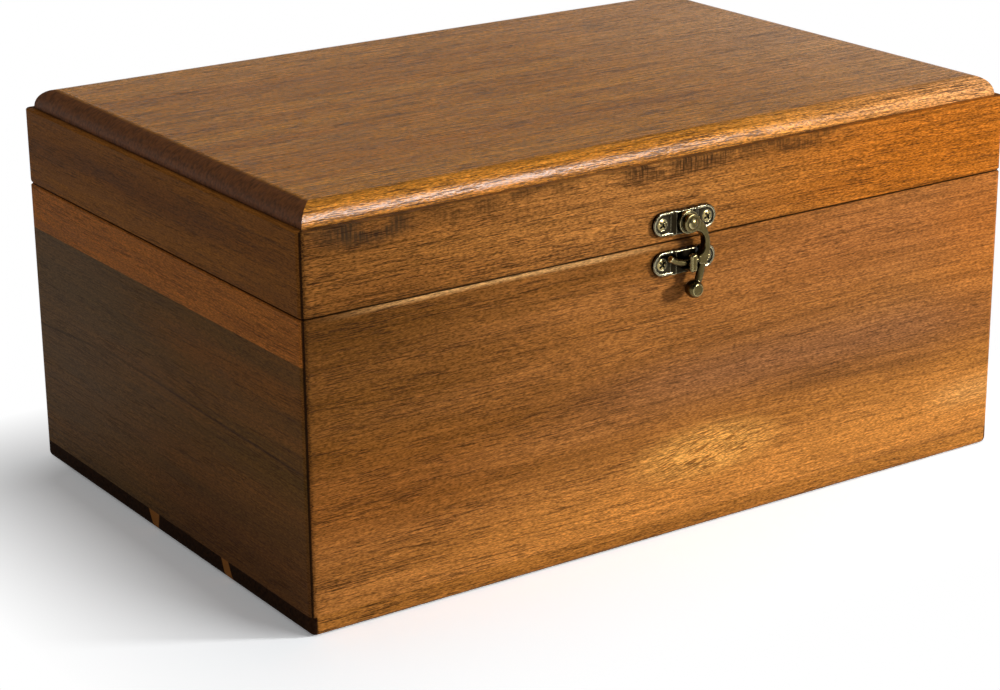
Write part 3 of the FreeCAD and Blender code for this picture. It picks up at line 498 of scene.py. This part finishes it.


# %% [markdown]
# Fingers rub the hook and the catch at every opening, so those are bare on their rounds too, and those pale
# rounds also carry a painted highlight. The two plates keep their patina except at the rim, and the screws
# were driven last: bright heads with crosses made black by painted shade. The hinges at the back are plain
# brass. Cast metal is faintly cloudy, in spots of about 2.5 mm.

# %% Aged bronze and brass
def aged_metal(name, hollow_patina_and_shade, body, rubbed_and_highlight, worn_and_highlit_rounds=0.8, edge_mm=0.35, roughness=0.24):
    """Metal with a dark patina in its hollows, which on the screws is painted shade, and bright rubbed edges
    that are partly a painted highlight.
    """
    material, tree = new_material(name)
    place = add(tree, "ShaderNodeTexCoord", out="Object")
    cloud = add(tree, "ShaderNodeTexNoise", {"Vector": place, "Scale": 1 / (2.5 * MM), "Detail": 3.0})
    edge, soft_normal = rubbed_edges_and_highlights(tree, edge_mm, worn_and_highlit_rounds)
    open_sky = add(tree, "ShaderNodeAmbientOcclusion", {"Distance": 4 * MM}, out="AO", samples=8)
    shelter = add(tree, "ShaderNodeMapRange", {"Value": open_sky, "From Min": 0.5, "From Max": 0.97})
    colour = add(tree, "ShaderNodeMix", {0: shelter, MIX_A: linear(hollow_patina_and_shade), MIX_B: linear(body)},
                 out=MIX_OUT, data_type="RGBA")
    # Wear and painted highlight: the pale colour goes on edges and rounds, standing in for real wear and for
    # the bright rims of reflections.
    worn_and_highlit = add(tree, "ShaderNodeMath", {0: edge, 1: shelter}, operation="MULTIPLY")
    colour = add(tree, "ShaderNodeMix", {0: worn_and_highlit, MIX_A: colour, MIX_B: linear(rubbed_and_highlight)},
                 out=MIX_OUT, data_type="RGBA")
    cloud_tone = add(tree, "ShaderNodeMapRange", {
        "Value": cloud, "From Min": 0.3, "From Max": 0.7, "To Min": 0.85, "To Max": 1.15})
    colour = add(tree, "ShaderNodeMix", {0: 1.0, MIX_A: colour, MIX_B: cloud_tone},
                 out=MIX_OUT, data_type="RGBA", blend_type="MULTIPLY")
    sheen = add(tree, "ShaderNodeMapRange", {
        "Value": cloud, "From Min": 0.3, "From Max": 0.7,
        "To Min": roughness - 0.05, "To Max": roughness + 0.07})
    bump = add(tree, "ShaderNodeBump", {
        "Height": cloud, "Strength": 0.3, "Distance": 0.04 * MM, "Normal": soft_normal})
    shader = add(tree, "ShaderNodeBsdfPrincipled", {
        "Base Color": colour, "Metallic": 1.0, "Roughness": sheen, "Normal": bump})
    tree.links.new(shader, tree.nodes.new("ShaderNodeOutputMaterial").inputs["Surface"])
    print("metal:", name)
    return material


dress(aged_metal("aged_bronze_plates", "#060504", "#2c2518", "#f3e6bb", worn_and_highlit_rounds=0.3),
      "latch_plate", "keeper_plate")
dress(aged_metal("aged_bronze_rubbed", "#0c0906", "#5f5332", "#e9d9a2"),
      "latch_hook", "latch_rivet", "keeper_catch")
# Painted shade: on the screws the near-black hollow colour darkens the cross recesses, where shade falls.
dress(aged_metal("worn_brass_screws", "#040302", "#b29b64", "#e9d9a2", worn_and_highlit_rounds=0.1, edge_mm=0.2),
      "latch_plate_screws", "keeper_plate_screws")
dress(aged_metal("hinge_brass", "#2a1e0e", "#9c8249", "#e6cf95", roughness=0.3),
      "hinge_left_base_leaf", "hinge_left_lid_leaf", "hinge_left_pin", "hinge_right_base_leaf",
      "hinge_right_lid_leaf", "hinge_right_pin", "hinge_base_screws", "hinge_lid_screws")

# %% [markdown]
# The box stands on a plain white table. Its mesh is one large square.

# %% Floor
floor_mesh = bpy.data.meshes.new("floor")
bm = bmesh.new()
bmesh.ops.create_grid(bm, x_segments=1, y_segments=1, size=3.0)
bm.to_mesh(floor_mesh)
bm.free()
floor = bpy.data.objects.new("floor", floor_mesh)
bpy.context.scene.collection.objects.link(floor)
print("floor corners:", len(floor_mesh.vertices))

# %% [markdown]
# Near the box the table is mostly real, so that it holds the shadow, but a small share of painted white
# lightens even the shadow there. Further out it melts into plain white, the way a photographer's paper sweep
# does, and that painted white fades the outer part of the shadow. The distance is measured from the outline
# of the box, drawn a little short at the rear, so the painted white cuts the shadow short there. The key
# stands low, so a matt white table would look grey: to rays that see it, straight from the camera or in a
# reflection, it is brighter than paper, and to rays that carry light it stays plain, so no extra light falls
# on the box.

# %% White of the table
SHADOW_ROOM, MELTED, FIRST_MELT = 0.01, 0.08, 0.15
REAR_TRIM = 0.03
BRIGHTENING = 2.15


def seen_rays(tree):
    """1 for rays that look at a thing, straight or mirrored, and 0 for rays that carry light onwards."""
    mask = None
    for ray in ("Is Camera Ray", "Is Glossy Ray", "Is Transmission Ray"):
        kind = add(tree, "ShaderNodeLightPath", out=ray)
        mask = kind if mask is None else add(tree, "ShaderNodeMath", {0: mask, 1: kind}, operation="MAXIMUM")
    return mask


paper, tree = new_material("matt_white_table")
seen = seen_rays(tree)
spot = add(tree, "ShaderNodeTexCoord", out="Object")
centred = add(tree, "ShaderNodeVectorMath", {0: spot, 1: (0, REAR_TRIM / 2, 0)}, operation="ADD")
one_corner = add(tree, "ShaderNodeVectorMath", {0: centred}, operation="ABSOLUTE")
half_outline = (LENGTH / 2, (DEPTH - REAR_TRIM) / 2, 0)
past = add(tree, "ShaderNodeVectorMath", {0: one_corner, 1: half_outline}, operation="SUBTRACT")
outside = add(tree, "ShaderNodeVectorMath", {0: past, 1: (0, 0, 0)}, operation="MAXIMUM")
distance = add(tree, "ShaderNodeVectorMath", {0: outside}, out="Value", operation="LENGTH")
# Painted light on the table: a share of plain white that grows with distance from the box lightens the shadow
# and fades it out.
painted_white_share = add(tree, "ShaderNodeMapRange", {
    "Value": distance, "From Min": SHADOW_ROOM, "From Max": MELTED, "To Min": FIRST_MELT, "To Max": 1.0})
share = add(tree, "ShaderNodeMath", {0: painted_white_share, 1: seen}, operation="MULTIPLY")
bright = [BRIGHTENING * c for c in linear("#d9dbdd")[:3]] + [1.0]
tone = add(tree, "ShaderNodeMix", {0: seen, MIX_A: linear("#d9d9d9"), MIX_B: bright},
           out=MIX_OUT, data_type="RGBA")
lit = add(tree, "ShaderNodeBsdfDiffuse", {"Color": tone})
white = add(tree, "ShaderNodeEmission", {"Color": (1, 1, 1, 1), "Strength": 1.0})
surface = add(tree, "ShaderNodeMixShader", {0: share, 1: lit, 2: white})
tree.links.new(surface, tree.nodes.new("ShaderNodeOutputMaterial").inputs["Surface"])
floor_mesh.materials.append(paper)
print("floor:", paper.name)

# %% [markdown]
# Around it is a bright studio. The camera sees white. Mirrored rays see white walls near the horizon and a
# dimmer ceiling, so that lacquer keeps its depth of colour instead of turning milky.

# %% World
AMBIENT, CEILING = 0.2, 0.04

world = bpy.data.worlds.new("studio_world")
bpy.context.scene.world = world
world.use_nodes = True
tree = world.node_tree
tree.nodes.clear()
heading = add(tree, "ShaderNodeTexCoord", out="Generated")
above = add(tree, "ShaderNodeSeparateXYZ", {"Vector": heading}, out="Z")
sweep = add(tree, "ShaderNodeMapRange", {
    "Value": above, "From Min": 0.02, "From Max": 0.18, "To Min": 1.0, "To Max": CEILING},
    interpolation_type="SMOOTHSTEP")
camera_ray = add(tree, "ShaderNodeLightPath", out="Is Camera Ray")
reflected = add(tree, "ShaderNodeMix", {0: camera_ray, 2: sweep, 3: 1.0}, data_type="FLOAT")
strength = add(tree, "ShaderNodeMix", {0: seen_rays(tree), 2: AMBIENT, 3: reflected}, data_type="FLOAT")
sky = add(tree, "ShaderNodeBackground", {"Color": (1, 1, 1, 1), "Strength": strength})
tree.links.new(sky, tree.nodes.new("ShaderNodeOutputWorld").inputs["Surface"])
print("world:", world.name)

# %% [markdown]
# Two soft lamps light the box from the right: a weak large one high up, and a small key low down that makes
# the front brighter than the left side and throws the shadow. Both stay out of reflections, as if a
# polarising filter took them away. The third lamp does the reverse: it lights nothing, and shows only as the
# long glint on the round of the lid. A level of 1 lights a surface that faces the lamp so that its colour
# renders as written.

# %% Lamps
def soft_lamp(name, place, size, level, target=(0, 0, 0.08), mirrored=False, lights=True):
    """A square soft box aimed at the object, as strong as the level asks at that distance."""
    lamp = bpy.data.lights.new(name, "AREA")
    lamp.size = size
    away = Vector(place) - Vector(target)
    lamp.energy = level * math.pi ** 2 * away.length_squared
    holder = bpy.data.objects.new(name, lamp)
    holder.matrix_world = Matrix.Translation(place) @ away.to_track_quat("Z", "Y").to_matrix().to_4x4()
    holder.visible_glossy = mirrored
    holder.visible_diffuse = lights
    bpy.context.scene.collection.objects.link(holder)
    print("lamp:", name, "watts:", round(lamp.energy, 1))


soft_lamp("main_soft_box", (0.9, -1.5, 2.4), 1.0, 0.2)
soft_lamp("side_key", (1.2, -0.93, 0.41), 0.2, 1.1)
soft_lamp("edge_glint", (0.47, -0.95, 0.56), 0.38, 1.6, target=(-0.05, -0.1, 0.14), mirrored=True,
          lights=False)

# %% [markdown]
# The camera stands where the photographer's did, to the left of the front and above the lid. Its numbers come
# from the edges of the box in the photograph, which is 1000 pixels wide.

# %% Camera
FRAME_WIDTH, SENSOR = 1000, 36.0
FOCAL_PIXELS = 2627.27
AZIMUTH, ELEVATION, ROLL = math.radians(-34.14), math.radians(19.17), math.radians(-0.59)
DISTANCE = 3.349 * LENGTH
RIGHT_SHIFT, UP_SHIFT = 0.0159 * LENGTH, -0.0746 * LENGTH

level_back = Vector((math.sin(AZIMUTH), -math.cos(AZIMUTH), 0))
back = level_back * math.cos(ELEVATION) + Vector((0, 0, math.sin(ELEVATION)))
right = Vector((math.cos(AZIMUTH), math.sin(AZIMUTH), 0))
up = back.cross(right)
corner = Vector((-LENGTH / 2, -DEPTH / 2, 0))
centre = corner + Vector((0.5, 0.4, 0.2)) * LENGTH + right * RIGHT_SHIFT + up * UP_SHIFT
camera_data = bpy.data.cameras.new("camera")
camera_data.sensor_width = SENSOR
camera_data.lens = FOCAL_PIXELS / FRAME_WIDTH * SENSOR
camera_data.clip_start = 0.01
camera = bpy.data.objects.new("camera", camera_data)
bpy.context.scene.collection.objects.link(camera)
turn = Matrix((right, up, back)).transposed().to_4x4() @ Matrix.Rotation(ROLL, 4, "Z")
camera.matrix_world = Matrix.Translation(centre + back * DISTANCE) @ turn
bpy.context.scene.camera = camera
bpy.context.scene.view_settings.view_transform = "Standard"
print("lens in mm:", round(camera_data.lens, 2))
